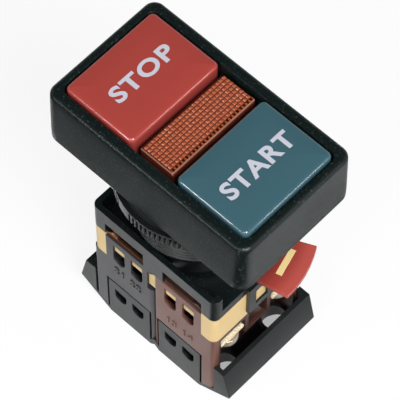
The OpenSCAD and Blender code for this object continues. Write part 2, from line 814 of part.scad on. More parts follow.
module grey_contact_spring() {
    color([0.75, 0.75, 0.76]) translate([0, rod_y, 0])
        coil(contact_spring_r, contact_spring_l, 4, closed_bridge_z - contact_spring_l);
}

module brown_contact_spring() {
    color([0.75, 0.75, 0.76]) brown_side() translate([0, rod_y, 0])
        coil(contact_spring_r, contact_spring_l, 4, open_bridge_z + bridge_t);
}

module grey_carrier_spring() {
    foot = block_foot + cover_t;
    color([0.75, 0.75, 0.76]) translate([0, rod_y, 0])
        coil(carrier_spring_r, cage_top - cage_h - foot, 6, foot);
}

module brown_carrier_spring() {
    brown_side() grey_carrier_spring();
}

// A pair of contact strips, each from its terminal to a tip beside the carrier
module fixed_contacts(drop) {
    tip_low = ceiling - strip_t - drop;
    both_x() difference() {
        union() {
            box([term_x - strip_w/2, riser_y, ceiling - strip_t],
                [term_x + strip_w/2, block_l - retainer_t, ceiling]);
            box([tip_x - tip_w/2, riser_y, tip_low], [term_x - strip_w/4, riser_y + strip_t, ceiling]);
            box([tip_x - tip_w/2, rod_y - bridge_l/2, tip_low], [tip_x + tip_w/2, riser_y + strip_t,
                tip_low + strip_t]);
        }
        translate([term_x, term_y, ceiling - strip_t - over])
            cylinder(r = screw_r + run_fit, h = strip_t + 2*over);
    }
}

module grey_fixed_contacts() {
    color([0.82, 0.62, 0.35]) fixed_contacts(0);
}

module brown_fixed_contacts() {
    color([0.82, 0.62, 0.35]) brown_side() fixed_contacts(step_drop - strip_t);
}

// One clamp plate per terminal
module terminal_clamps() {
    color([0.93, 0.9, 0.82]) for (j = [-1, 1]) scale([1, j, 1]) both_x() difference() {
        box([term_x - clamp_w/2, block_l + clamp_out - clamp_l, clamp_z - clamp_t],
            [term_x + clamp_w/2, block_l + clamp_out, clamp_z]);
        translate([term_x, term_y, clamp_z - clamp_t - over])
            cylinder(r = screw_r + run_fit, h = clamp_t + 2*over);
    }
}

// One screw per terminal, with its slotted head towards the shroud
module terminal_screws() {
    head_top = clamp_z - clamp_t;
    color([0.85, 0.84, 0.8]) for (i = [-1, 1], j = [-1, 1]) translate([i*term_x, j*term_y, 0]) difference() {
        union() {
            translate([0, 0, head_top - screw_head_t]) cylinder(r = screw_head_r, h = screw_head_t);
            translate([0, 0, head_top - skin]) cylinder(r = screw_r, h = screw_top - head_top + skin);
        }
        box([-screw_head_r - over, -screw_slot_w/2, head_top - screw_head_t - over],
            [screw_head_r + over, screw_slot_w/2, head_top - screw_head_t + screw_slot_d]);
    }
}

bezel();
threaded_neck();
rod_guide();
gasket();
ring_nut();
stop_button();
start_button();
stop_pusher();
start_pusher();
stop_return_spring();
start_return_spring();
pilot_lens();
lamp_holder();
lamp_bulb();
adapter_frame();
locking_lever();
lever_mark();
grey_housing();
brown_housing();
grey_base_cover();
brown_base_cover();
grey_retainer();
brown_retainer();
grey_clip_strip();
brown_clip_strip();
grey_carrier();
brown_carrier();
grey_bridge();
brown_bridge();
grey_contact_spring();
brown_contact_spring();
grey_carrier_spring();
brown_carrier_spring();
grey_fixed_contacts();
brown_fixed_contacts();
terminal_clamps();
terminal_screws();
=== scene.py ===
# %% [markdown]
# # Dressing a pushbutton control station
# The CAD model already holds every piece at its real size. This lesson gives those pieces their
# finishes, and rebuilds the few whose fine form a CAD solid keeps plain: the rounded bezel and
# caps, the prisms of the lens, the thread of the neck, and the screws and clamps at the
# terminals. Four springs are wound anew. Sizes are written in millimetres and become metres at
# the vertices. +Z points out of the panel to the operator.

# %% Load the frame
import json
import math
import bmesh
import bpy
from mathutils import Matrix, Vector


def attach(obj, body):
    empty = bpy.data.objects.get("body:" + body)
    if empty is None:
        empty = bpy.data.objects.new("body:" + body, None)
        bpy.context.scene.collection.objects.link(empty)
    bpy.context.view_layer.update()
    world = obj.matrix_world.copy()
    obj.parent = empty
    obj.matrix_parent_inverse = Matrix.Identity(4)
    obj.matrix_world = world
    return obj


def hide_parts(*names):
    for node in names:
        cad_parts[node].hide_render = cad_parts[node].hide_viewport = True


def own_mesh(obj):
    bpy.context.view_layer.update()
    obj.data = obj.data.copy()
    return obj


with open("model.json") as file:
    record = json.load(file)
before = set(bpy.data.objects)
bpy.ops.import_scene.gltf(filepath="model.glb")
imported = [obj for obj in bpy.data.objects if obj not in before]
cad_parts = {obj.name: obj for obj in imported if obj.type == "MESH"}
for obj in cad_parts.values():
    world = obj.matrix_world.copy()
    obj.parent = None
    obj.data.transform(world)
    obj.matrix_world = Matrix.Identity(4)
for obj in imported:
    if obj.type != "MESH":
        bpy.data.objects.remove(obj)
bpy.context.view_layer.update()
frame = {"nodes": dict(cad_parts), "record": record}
nodes = frame["nodes"]
MM = 0.001

# %% [markdown]
# ## A small language for shaders
# A material is a graph, and wiring a graph by hand hides the thought in it. The class below wraps
# one socket, so that `1 - mask * 0.3` builds the Math nodes by itself. Colours don't go through
# Math nodes, which would turn them grey: `mix` blends them instead.

# %% A socket that arithmetic works on
class Wire:
    """An output socket. Arithmetic on it adds Math nodes to its graph."""

    def __init__(self, graph, socket):
        self.graph = graph
        self.socket = socket

    def maths(self, operation, *values):
        return self.graph.node("Math", {"operation": operation}, values)

    def __add__(self, other):
        return self.maths("ADD", self, other)

    def __sub__(self, other):
        return self.maths("SUBTRACT", self, other)

    def __rsub__(self, other):
        return self.maths("SUBTRACT", other, self)

    def __mul__(self, other):
        return self.maths("MULTIPLY", self, other)

    def __abs__(self):
        return self.maths("ABSOLUTE", self)

    def or_more(self, other):
        """The larger of the two."""
        return self.maths("MAXIMUM", self, other)

    def above(self, edge, width):
        """0 below the edge, 1 above it, with a soft step of that width."""
        return self.graph.node("MapRange", {"interpolation_type": "SMOOTHSTEP"},
                                {"Value": self, "From Min": edge, "From Max": edge + width})

    __radd__ = __add__
    __rmul__ = __mul__


print("sockets can be added, subtracted and multiplied")

# %% A graph that grows node by node
MIX_FACTOR, MIX_A, MIX_B, MIX_COLOUR = 0, 6, 7, 2  # the Mix node's sockets share their names


class Graph:
    """A node tree, and one method that adds any node to it."""

    def __init__(self, tree):
        self.tree = tree

    def node(self, kind, settings=None, values=(), output=0):
        """Adds a node. Settings are set before its sockets are fed with values or wires."""
        made = self.tree.nodes.new("ShaderNode" + kind)
        for key, value in (settings or {}).items():
            if key == "stops":
                self.ramp(made, value)
            else:
                setattr(made, key, value)
        pairs = values.items() if isinstance(values, dict) else enumerate(values)
        for key, value in pairs:
            self.feed(made.inputs[key], value)
        return Wire(self, made.outputs[output])

    def ramp(self, made, stops):
        elements = made.color_ramp.elements
        while len(elements) < len(stops):
            elements.new(1.0)
        for element, (place, colour) in zip(elements, stops):
            element.position = place
            element.color = (*colour, 1.0)

    def feed(self, socket, value):
        if isinstance(value, Wire):
            self.tree.links.new(value.socket, socket)
        else:
            socket.default_value = value

    def colour(self, value):
        return value if isinstance(value, Wire) else (*value, 1.0)

    def mix(self, factor, first, second):
        """A blend of two colours."""
        fed = {MIX_FACTOR: factor, MIX_A: self.colour(first), MIX_B: self.colour(second)}
        return self.node("Mix", {"data_type": "RGBA", "clamp_factor": True}, fed, MIX_COLOUR)

    def noise(self, size, detail=3.0, where=None):
        """Noise whose blobs are about that many millimetres wide."""
        return self.node("TexNoise", {}, {"Vector": where or self.place(),
                                          "Scale": 1.0 / (size * MM), "Detail": detail})

    def place(self):
        return self.node("TexCoord", output="Object")

    def along(self, *axes):
        """How far a place lies along each of those axes."""
        return [self.node("SeparateXYZ", {}, [self.place()], axis) for axis in axes]

    def vector(self, operation, *values, output=0):
        return self.node("VectorMath", {"operation": operation}, values, output)


print("graphs can grow")

# %% A material with a Principled surface
ON_EDGE = (0.01, 0.12)


class Shader(Graph):
    """One material with a Principled surface."""

    def __init__(self, name, **constants):
        self.material = bpy.data.materials.new(name)
        self.material.use_nodes = True
        super().__init__(self.material.node_tree)
        self.surface = self.tree.nodes["Principled BSDF"]
        for key, value in constants.items():
            self.surface.inputs[key.replace("_", " ")].default_value = value

    def edges(self, radius):
        """1 on edges and 0 on flats, from how far a rounded normal turns from the true one."""
        rounded = self.node("Bevel", {"samples": 6}, {"Radius": radius * MM})
        true = self.node("NewGeometry", output="Normal")
        likeness = self.vector("DOT_PRODUCT", rounded, true, output="Value")
        return (1 - likeness).above(*ON_EDGE), rounded

    def finish(self, colour, roughness, bump, depth, normal=None):
        """Feeds the surface. The bump's depth is in millimetres."""
        self.feed(self.surface.inputs["Base Color"], self.colour(colour))
        self.feed(self.surface.inputs["Roughness"], roughness)
        values = {"Height": bump, "Distance": depth * MM, "Strength": 1.0}
        if normal:
            values["Normal"] = normal
        self.feed(self.surface.inputs["Normal"], self.node("Bump", {}, values))
        return self.material


print("shader helpers ready")

# %% [markdown]
# ## Moulded plastic
# Nearly every piece here is injection moulded, so one recipe serves them all. The mould's skin
# leaves a fine grain, the flow of the melt leaves broad cloudy changes of gloss, and handling
# polishes the edges and leaves a little dust in the grain. On the bezel's rim and the nut's ribs
# the lighter edge tone is also a painted highlight. The recipe paints shade as well: the terminal
# bays of the housings are darker, and the lever is darker at its root, where the bezel's shadow
# falls, and lighter at its tip as painted light. Only the colours, the size of the grain and the
# strength of each effect change from piece to piece. In this recipe and the next ones, a capital
# name holds a noise's size in millimetres or where a mask starts and how wide its step is, and a
# factor in a formula says how strongly one effect shows.

# %% Two places that get painted shade and painted light
BAY_WALL, BAY_WALL_STEP, BAY_START, BAY_STEP = 11.4, 0.6, 10, 3
ROOT_REACH, ROOT_STEP, TIP_REACH, TIP_STEP = 16.4, 4, 19.6, 3


def bays(shader):
    """1 in the terminal bays: between the housing's long walls, and beyond its middle."""
    # The bays mark where shade is painted onto the housings.
    x, y = shader.along("X", "Y")
    between = (BAY_WALL * MM - abs(x)).above(0.0, BAY_WALL_STEP * MM)
    return between * abs(y).above(BAY_START * MM, BAY_STEP * MM)


def lever_ends(shader):
    """1 at the lever's root, next to the neck, and 1 at its tip."""
    # These masks place the lever's painted shade at its root and painted light at its tip.
    level = shader.vector("MULTIPLY", shader.place(), (1.0, 1.0, 0.0))
    reach = shader.vector("LENGTH", level, output="Value")
    return (1 - reach.above(ROOT_REACH * MM, ROOT_STEP * MM),
            reach.above(TIP_REACH * MM, TIP_STEP * MM))


print("bays start at", BAY_START, "mm, and the lever's tip at", TIP_REACH, "mm")

# %% Recipe for moulded plastic
FLOW, SCUFF, SPECK = 9.0, 1.6, 0.36
SCUFFED, SPECKLED = (0.58, 0.12), (0.64, 0.06)
DUST_TONE = (0.3, 0.32, 0.32)


def scaled(colour, factor, lift=0.0):
    return tuple(min(1.0, factor * c + lift) for c in colour)


def plastic(name, colour, wear_and_light_tone, rough=0.4, grain=0.15, depth=0.008, edge=0.15, specular=0.5,
            dust=0.0, painted_bay_shade=0.0, tip=0.0):
    """Painted shade darkens the terminal bays and the lever's root; painted light lightens its
    tip.
    """
    shader = Shader(name, Specular_IOR_Level=specular)
    broad = shader.noise(FLOW, 2.0)
    fine = shader.noise(grain, 2.0)
    rub, rounded = shader.edges(edge)
    scuffs = shader.noise(SCUFF, 5.0).above(*SCUFFED)
    tone = shader.mix(broad * 0.15 + fine * 0.1, colour, scaled(colour, 0.62))
    # Lighter edges: wear, and on the bezel and the nut also a painted highlight.
    tone = shader.mix(rub * 0.35 * (0.4 + scuffs), tone, wear_and_light_tone)
    specks = shader.noise(SPECK, 1.5).above(*SPECKLED)
    tone = shader.mix(specks * dust, tone, DUST_TONE)
    # Painted shade: the terminal bays are darkened.
    if painted_bay_shade:
        tone = shader.mix(bays(shader) * painted_bay_shade, tone, scaled(colour, 0.12))
    # Painted shade at the lever's root, where the bezel's shadow falls, and painted light at its
    # tip.
    if tip:
        at_root, at_tip = lever_ends(shader)
        tone = shader.mix(at_root, tone, scaled(colour, 0.5))
        tone = shader.mix(at_tip * tip, tone, wear_and_light_tone)
    gloss = rough + (broad - 0.5) * 0.14 + fine * 0.06 - rub * 0.1 + scuffs * 0.03
    return shader.finish(tone, gloss, fine + scuffs * 0.15, depth, rounded)


print("plastic is mixed from noises of", FLOW, SCUFF, "and", SPECK, "mm")

# %% Mix the plastics
FINISHES = {
    # The bezel's and the nut's lighter edge tone is wear and also a painted highlight on the rim
    # and ribs.
    "bezel_black": plastic("bezel grained black", (0.004, 0.008, 0.008), (0.05, 0.056, 0.056),
                           rough=0.32, grain=0.3, depth=0.03, edge=0.12, specular=0.33,
                           dust=0.18),
    "neck_black": plastic("neck black", (0.003, 0.005, 0.005), (0.02, 0.02, 0.02),
                          rough=0.34, grain=0.1, depth=0.004, edge=0.06, specular=0.35),
    "nut_black": plastic("nut black", (0.005, 0.007, 0.007), (0.09, 0.095, 0.095),
                         rough=0.26, grain=0.12, depth=0.006, edge=0.14),
    "frame_dark": plastic("frame charcoal", (0.004, 0.007, 0.008), (0.05, 0.05, 0.054),
                          rough=0.3, dust=0.1),
    # Both housings get painted shade in their terminal bays.
    "housing_grey": plastic("housing grey", (0.032, 0.031, 0.036), (0.12, 0.12, 0.13),
                            rough=0.34, specular=0.4, painted_bay_shade=0.7),
    "housing_brown": plastic("housing brown", (0.145, 0.062, 0.046), (0.3, 0.18, 0.14),
                             rough=0.34, specular=0.42, painted_bay_shade=0.7),
    "cover_dark": plastic("cover dark grey", (0.009, 0.011, 0.012), (0.08, 0.082, 0.087),
                          rough=0.34, specular=0.36),
    "retainer_yellow": plastic("retainer yellow", (0.66, 0.475, 0.215), (0.82, 0.66, 0.4)),
    # The lever gets painted shade at its root and painted light at its tip.
    "lever_red": plastic("lever red", (0.34, 0.048, 0.036), (0.6, 0.12, 0.1),
                         rough=0.32, edge=0.2, tip=0.42),
    "mark_yellow": plastic("mark yellow", (0.78, 0.6, 0.27), (0.9, 0.76, 0.46), edge=0.1),
    "inner_ivory": plastic("inner ivory", (0.68, 0.64, 0.52), (0.85, 0.8, 0.7), edge=0.1),
    "carrier_cream": plastic("carrier cream", (0.78, 0.66, 0.42), (0.92, 0.84, 0.65), edge=0.1),
    "strip_dark": plastic("strip brown", (0.05, 0.02, 0.014), (0.16, 0.07, 0.05),
                          rough=0.36, edge=0.1),
    "gasket_rubber": plastic("gasket rubber", (0.005, 0.006, 0.006), (0.02, 0.02, 0.02),
                             rough=0.6, grain=0.25, depth=0.012),
}
print(len(FINISHES), "plastics mixed")

# %% [markdown]
# ## Bare metal
# The strips, contacts, springs and screws are plated or bare metal. Rolling and drawing leave
# fine lines along the piece, so the noise that drives roughness and bump is stretched on one
# axis, and handling leaves duller spots.

# %% Recipe for rolled and plated metal
LINE, LINE_DEPTH, SPOT, SPOTTED = 0.5, 0.004, 1.8, (0.52, 0.16)


def metal(name, colour, dull, rough=0.3, stretch=(1.0, 12.0, 1.0), plated=1.0):
    shader = Shader(name, Metallic=plated)
    lines = shader.noise(LINE, 4.0, shader.vector("MULTIPLY", shader.place(), stretch))
    spots = shader.noise(SPOT, 4.0).above(*SPOTTED)
    rub, rounded = shader.edges(0.1)
    tone = shader.mix(spots * 0.6, colour, dull)
    tone = shader.mix(rub * 0.5, tone, scaled(colour, 1.25))
    gloss = rough + lines * 0.12 + spots * 0.15 - rub * 0.1
    return shader.finish(tone, gloss, lines, LINE_DEPTH, rounded)


FINISHES.update({
    "spring_steel": metal("spring steel", (0.55, 0.55, 0.57), (0.4, 0.4, 0.42), rough=0.28),
    "strip_copper": metal("strip copper", (0.44, 0.18, 0.085), (0.2, 0.07, 0.035)),
    "contact_brass": metal("contact brass", (0.83, 0.6, 0.32), (0.6, 0.42, 0.22), rough=0.32),
    "terminal_steel": metal("terminal steel", (0.94, 0.82, 0.6), (0.78, 0.64, 0.42),
                            rough=0.34, stretch=(6.0, 1.0, 1.0), plated=0.45),
})
SCREW_ZINC = metal("screw zinc", (0.62, 0.54, 0.42), (0.34, 0.26, 0.16),
                   rough=0.26, stretch=(1.0, 6.0, 1.0), plated=0.8)
print(len(FINISHES), "finishes with the metals")

# %% [markdown]
# ## The polished caps
# The two caps are the same plastic as the rest but come from a polished mould, so they carry a
# clear coat over the colour. A polished face isn't perfectly flat: a very shallow, broad ripple
# makes the reflections live, and thumbs leave faint dull patches.

# %% Recipe for the polished caps
RIPPLE, RIPPLE_DEPTH, SMEAR, SMEARED, SHEEN = 7.0, 0.01, 3.2, (0.5, 0.2), 0.18


def polished(name, colour, deep):
    shader = Shader(name, Coat_Roughness=0.05, Specular_IOR_Level=0.5)
    broad = shader.noise(RIPPLE, 2.0)
    smear = shader.noise(SMEAR, 4.0).above(*SMEARED)
    rub = shader.edges(0.2)[0]
    tone = shader.mix(broad * 0.35, colour, deep)
    tone = shader.mix(rub * 0.4, tone, scaled(colour, 1.5, 0.04))
    shader.feed(shader.surface.inputs["Coat Weight"], 0.55 - smear * 0.06)
    return shader.finish(tone, SHEEN + smear * 0.04 + broad * 0.03, broad, RIPPLE_DEPTH)


FINISHES["stop_red"] = polished("cap red", (0.355, 0.052, 0.042), (0.31, 0.045, 0.036))
FINISHES["start_teal"] = polished("cap blue green", (0.045, 0.108, 0.134), (0.04, 0.098, 0.122))
print("caps ready")

# %% [markdown]
# ## The lens and the lamp
# The lens is a clear amber moulding. The lamp behind it is off, so what shows is the colour of
# the plastic, bright on the prisms' tops. The deep amber between the prisms is painted shade:
# darker copies of the amber on the prisms' near flanks, in the pits and on the rim. The paler
# amber of the lip is a painted highlight. Part of the light goes through, which the transmission
# of the Principled surface does by itself.

# %% Amber, its lip and side, and the glass
HAZE, SPECKLE, SPECKLE_DEPTH, GLASS_DUST, GLASS_DEPTH = 5.0, 0.35, 0.006, 1.2, 0.01


def amber(name, light, deep, rough=0.3):
    shader = Shader(name, Coat_Roughness=0.12, IOR=1.49, Transmission_Weight=0.12)
    broad = shader.noise(HAZE, 2.0)
    speckle = shader.noise(SPECKLE, 3.0)
    rub, rounded = shader.edges(0.06)
    tone = shader.mix(broad * 0.5 + speckle * 0.3, light, deep)
    tone = shader.mix(rub * 0.4, tone, scaled(light, 1.5, 0.04))
    shader.feed(shader.surface.inputs["Coat Weight"], 0.2 + broad * 0.2)
    return shader.finish(tone, rough + speckle * 0.15, speckle, SPECKLE_DEPTH, rounded)


def glass():
    shader = Shader("lamp glass", IOR=1.5, Transmission_Weight=0.9)
    dust = shader.noise(GLASS_DUST, 4.0)
    tone = shader.mix(dust * 0.3, (0.95, 0.93, 0.88), (0.8, 0.75, 0.66))
    return shader.finish(tone, 0.04 + dust * 0.1, dust, GLASS_DEPTH)


FINISHES["lens_amber"] = amber("lens amber", (0.45, 0.09, 0.02), (0.33, 0.06, 0.012))
FINISHES["lamp_glass"] = glass()
# A darker amber for the prisms' near flanks, which is painted shade.
LENS_GROOVE_SHADE = plastic("lens groove", (0.15, 0.026, 0.012), (0.2, 0.04, 0.02),
                      grain=0.2, depth=0.002, edge=0.02, specular=0.3)
# A near-black amber inside the pits, which is painted shade.
LENS_PIT_SHADE = plastic("lens pit", (0.03, 0.005, 0.003), (0.05, 0.01, 0.006),
                   rough=0.5, grain=0.2, depth=0.002, edge=0.02, specular=0.2)
# The rim's dark amber is painted shade, for the shadow in the well beside the lens.
LENS_RIM_SHADE = amber("lens rim", (0.12, 0.024, 0.014), (0.05, 0.01, 0.006), rough=0.14)
# A paler amber for the lip, which is a painted highlight.
LENS_LIP_HIGHLIGHT = amber("lens bead", (0.5, 0.25, 0.17), (0.26, 0.09, 0.055), rough=0.12)
LEGEND_WHITE = plastic("legend white", (0.54, 0.54, 0.62), (0.7, 0.7, 0.74),
                       grain=0.2, depth=0.004, edge=0.02)
print("lens and glass ready")

# %% [markdown]
# ## Giving every CAD node its finish
# The record names a material slot for each node, so the finish of a node is looked up there. The
# screws share the clamps' slot but are plated in a greyer zinc.

# %% Dress the CAD nodes
for part in frame["record"]["subparts"]:
    thing = nodes[part["node"]]
    thing.data.materials.clear()
    finish = SCREW_ZINC if part["node"] == "terminal_screws" else FINISHES[part["material_slot"]]
    thing.data.materials.append(finish)

# %% [markdown]
# ## Lofting rounded boxes
# The bezel and the caps are rounded rectangles that change size with height. A loft joins such
# outlines ring by ring, which gives clean quads and a true rounded edge, where a bevel on a box
# would have to be tuned for each corner.

# %% Outlines
CORNER_STEPS, SIDE_STEPS, EDGE_STEPS = 10, 6, 8


def outline(width, length, radius):
    """A rounded rectangle as points, counter-clockwise, with the same count for any size."""
    def corner(quarter, share):
        sx, sy = ((1, 1), (-1, 1), (-1, -1), (1, -1))[quarter % 4]
        turn = math.radians(90 * (quarter + share))
        return (sx * (width / 2 - radius) + radius * math.cos(turn),
                sy * (length / 2 - radius) + radius * math.sin(turn))

    points = []
    for quarter in range(4):
        points += [corner(quarter, k / CORNER_STEPS) for k in range(CORNER_STEPS + 1)]
        side = list(zip(points[-1], corner(quarter + 1, 0.0)))
        points += [tuple(a + (b - a) * k / SIDE_STEPS for a, b in side)
                   for k in range(1, SIDE_STEPS)]
    return points


def round_like(points, radius):
    """A circle whose points lie at the same angles as those of an outline."""
    turns = [math.atan2(y, x) for x, y in points]
    return [(radius * math.cos(t), radius * math.sin(t)) for t in turns]


def at(points, z):
    return [(x, y, z) for x, y in points]


def inside(box, inset, z, sharpest=0.0):
    """The ring whose sides lie that far inside a box of (width, length, corner radius)."""
    width, length, radius = box
    return at(outline(width - 2 * inset, length - 2 * inset, max(sharpest, radius - inset)), z)


def quarter_round(radius):
    """A rounded edge, as how far each ring is drawn in and how far it lies below the top."""
    turns = [math.radians(90 * k / EDGE_STEPS) for k in range(EDGE_STEPS + 1)]
    return [(radius * (1 - math.cos(t)), radius * (1 - math.sin(t))) for t in turns]


print("an outline has", len(outline(2.0, 2.0, 0.5)), "points")

# %% From rings to a fitted piece
def skin(mesh, rings, closed=False):
    """Joins rings of 3-D points in millimetres. The ends are filled unless it is closed."""
    loops = [[mesh.verts.new(Vector(p) * MM) for p in ring] for ring in rings]
    for low, high in zip(loops, loops[1:] + loops[:1] if closed else loops[1:]):
        for i in range(len(low)):
            j = (i + 1) % len(low)
            mesh.faces.new((low[i], low[j], high[j], high[i]))
    if not closed:
        mesh.faces.new(list(reversed(loops[0])))
        mesh.faces.new(loops[-1])


def as_object(name, mesh, shade=40):
    """Edges that turn by more than that many degrees stay crisp."""
    data = bpy.data.meshes.new(name)
    mesh.to_mesh(data)
    mesh.free()
    thing = bpy.data.objects.new(name, data)
    bpy.context.scene.collection.objects.link(thing)
    data.shade_smooth()
    data.set_sharp_from_angle(angle=math.radians(shade))
    return thing


def loft(name, rings, closed=False):
    """An object with one skin over its rings."""
    mesh = bmesh.new()
    skin(mesh, rings, closed)
    bmesh.ops.recalc_face_normals(mesh, faces=mesh.faces)
    return as_object(name, mesh)


def fit(thing, body, slot, material, *replaced):
    """Puts a finished piece on its body, and hides the nodes that it stands for."""
    thing.data.materials.append(material)
    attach(thing, body)
    if replaced:
        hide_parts(*replaced)
    print("made", thing.name, "for", replaced or body)
    return thing


print("ready to loft and fit")

# %% [markdown]
# ## The bezel
# The bezel is a thick-walled tray. One closed loft walks up the outside, over the rounded rim,
# down the well and back through the hole for the neck, so the wall has its real thickness.

# %% Loft the bezel
BEZEL_W, BEZEL_L, BEZEL_H, CORNER = 30.0, 50.0, 14.0, 3.0
LEAN_X, LEAN_Y, FILLET, RIM_SHARPEST = 0.6, 0.2, 1.0, 0.4
FOOT_CUT, FOOT_SLACK, WALL_RINGS = 0.3, 0.1, (0.2, 0.4, 0.6, 0.8, 0.95)
WELL, WELL_FLOOR, SHANK_R = (24.0, 45.8, 1.6), 2.0, 11.0
WELL_MOUTH = ((0.35, 0.0), (0.1, 0.08), (0.0, 0.3), (0.0, 3.0))


def leaning(share):
    """The outer wall's width, length and corner radius at that share of its height."""
    return (BEZEL_W - 2 * LEAN_X * share, BEZEL_L - 2 * LEAN_Y * share, CORNER - LEAN_X * share)


def bezel():
    hole = round_like(outline(*leaning(0.0)), SHANK_R)
    rings = [at(hole, 0.0), inside(leaning(0.0), FOOT_CUT, 0.0)]
    rings.append(at(outline(BEZEL_W - FOOT_SLACK, BEZEL_L - FOOT_SLACK, CORNER), FOOT_CUT))
    for share in WALL_RINGS:
        z = share * (BEZEL_H - FILLET)
        rings.append(at(outline(*leaning(z / BEZEL_H)), z))
    for pull, drop in quarter_round(FILLET):
        rings.append(inside(leaning(1.0), pull, BEZEL_H - drop, RIM_SHARPEST))
    for flare, drop in WELL_MOUTH:
        rings.append(inside(WELL, -flare, BEZEL_H - drop))
    rings += [inside(WELL, 0.0, WELL_FLOOR), at(hole, WELL_FLOOR)]
    return loft("bezel_shell", rings, closed=True)


fit(bezel(), "station", "bezel_black", FINISHES["bezel_black"], "bezel")

# %% [markdown]
# ## The caps
# A cap is a thin shell with a rolled edge and a top that rises gently to its middle. The loft
# starts at the ceiling inside, goes down the wall, round the skirt and up over the crown.

# %% Loft the caps
CAP_W, CAP_L, CAP_H, CAP_R, CAP_WALL = 23.2, 17.2, 7.0, 1.2, 1.0
CAP_Y, CAP_TOP, CAP_EDGE, CROWN, CROWN_IN = 13.9, 14.975, 0.9, 0.25, 4.0
BELT, CAP_SHARPEST, CROWN_RINGS, CROWN_MIDDLE = 3.0, 0.35, 12, 0.6


def crown_height(x, y):
    """Height of a cap's top at a place measured from the cap's centre."""
    inset = min(CAP_W / 2 - abs(x), CAP_L / 2 - abs(y))
    share = min(1.0, max(0.0, (inset - CAP_EDGE) / CROWN_IN))
    return CAP_TOP - CROWN * (1 - share) ** 2


def cap(name, side):
    box, eave, foot = (CAP_W, CAP_L, CAP_R), CAP_TOP - CROWN, CAP_TOP - CAP_H
    inner = outline(CAP_W - 2 * CAP_WALL, CAP_L - 2 * CAP_WALL, CAP_R / 2)
    rings = [at(inner, eave - CAP_WALL), at(inner, foot)]
    rings += [inside(box, 0.0, foot), inside(box, 0.0, foot + BELT)]
    for pull, drop in quarter_round(CAP_EDGE):
        rings.append(inside(box, pull, eave - drop, CAP_SHARPEST))
    for k in range(1, CROWN_RINGS + 1):
        inset = CAP_EDGE + (CAP_L / 2 - CROWN_MIDDLE - CAP_EDGE) * k / CROWN_RINGS
        ring = outline(CAP_W - 2 * inset, CAP_L - 2 * inset, CAP_SHARPEST)
        rings.append([(x, y, crown_height(x, y)) for x, y in ring])
    return loft(name, [[(x, y + side * CAP_Y, z) for x, y, z in ring] for ring in rings])


fit(cap("stop_cap", 1), "stop_press", "stop_red", FINISHES["stop_red"], "stop_button")
fit(cap("start_cap", -1), "start_press", "start_teal", FINISHES["start_teal"], "start_button")

# %% [markdown]
# ## The legends
# The words are printed on the caps, so they follow the crown with almost no thickness. Text
# becomes a mesh, and each of its points is then set just above the cap's own height there.

# %% Print the words
PRINT = 0.02


def letters(name, word, size, weight, spacing, depth=0.0):
    """The filled shapes of a word about its middle."""
    curve = bpy.data.curves.new(name, "FONT")
    curve.body = word
    curve.size = size
    curve.offset = weight * size
    curve.extrude = depth
    curve.align_x = "CENTER"
    curve.align_y = "CENTER"
    curve.space_character = spacing
    text = bpy.data.objects.new(name + "_text", curve)
    bpy.context.scene.collection.objects.link(text)
    bpy.context.view_layer.update()
    mesh = bmesh.new()
    mesh.from_mesh(text.to_mesh())
    bpy.data.objects.remove(text)
    return mesh


def legend(name, word, side, size, stretch, centre):
    mesh = letters(name, word, size, weight=0.032, spacing=1.12)
    bmesh.ops.triangulate(mesh, faces=mesh.faces)
    bmesh.ops.subdivide_edges(mesh, edges=mesh.edges, cuts=2)
    for vertex in mesh.verts:
        x, y = centre[0] + stretch * vertex.co.x, centre[1] + vertex.co.y
        vertex.co = Vector((x, y + side * CAP_Y, crown_height(x, y) + PRINT)) * MM
    return as_object(name, mesh)


fit(legend("stop_legend", "STOP", side=1, size=4.7, stretch=1.24, centre=(0.1, 0.1)),
    "stop_press", "stop_red", LEGEND_WHITE)
fit(legend("start_legend", "START", side=-1, size=5.0, stretch=1.08, centre=(0.35, -0.5)),
    "start_press", "start_teal", LEGEND_WHITE)

# %% [markdown]
# ## The lens
# The window between the caps is moulded into a grid of small prisms that scatter the lamp's
# light. Each prism is a block with a light roof. Its flanks towards the start cap and the near
# end get a darker amber, which is painted shade. A row of small pits runs along the near long
# side, painted near-black inside as shade, and a polished lip along both near sides, whose paler
# amber is a painted highlight. At the far sides the prisms reach the edge.

# %% One prism and one pit
LENS_TOP = 13.6
PLATE, PIT_TOP, PRISM = LENS_TOP - 0.42, LENS_TOP - 0.04, 0.4
EAVE, ROOF, EAVE_RISE = (0.15, 0.03, 0.2, 0.04), (0.3, 0.16, 0.4, 0.14), 0.65
MOUTH, HOLLOW = (0.2, 0.34, 0.02, 0.01), (0.17, 0.3, 0.05, 0.04)
SHADED_FLANK, SHADED_PIT = 1, 2


def corners(mesh, points, z):
    return [mesh.verts.new(Vector((x, y, z)) * MM) for x, y in points]


def join(mesh, low, high, dark=(), tone=0):
    """Four walls between two rings. Those named dark get the material of that number."""
    for i in range(4):
        j = (i + 1) % 4
        face = mesh.faces.new((low[i], low[j], high[j], high[i]))
        face.material_index = tone if i in dark else 0


def prism(mesh, x, y, dx, dy):
    def ring(drawn, z):
        """The cell, drawn in by so much on its -X, +X, -Y and +Y sides."""
        left, right = x + drawn[0], x + dx - drawn[1]
        near, far = y + drawn[2], y + dy - drawn[3]
        return corners(mesh, [(left, near), (right, near), (right, far), (left, far)], z)

    foot, eave = ring((0, 0, 0, 0), PLATE), ring(EAVE, PLATE + EAVE_RISE * PRISM)
    roof = ring(ROOF, PLATE + PRISM)
    # The near and left flanks get the darker amber, which is painted shade.
    join(mesh, foot, eave, (0, 3), SHADED_FLANK)
    join(mesh, eave, roof)
    mesh.faces.new(roof)


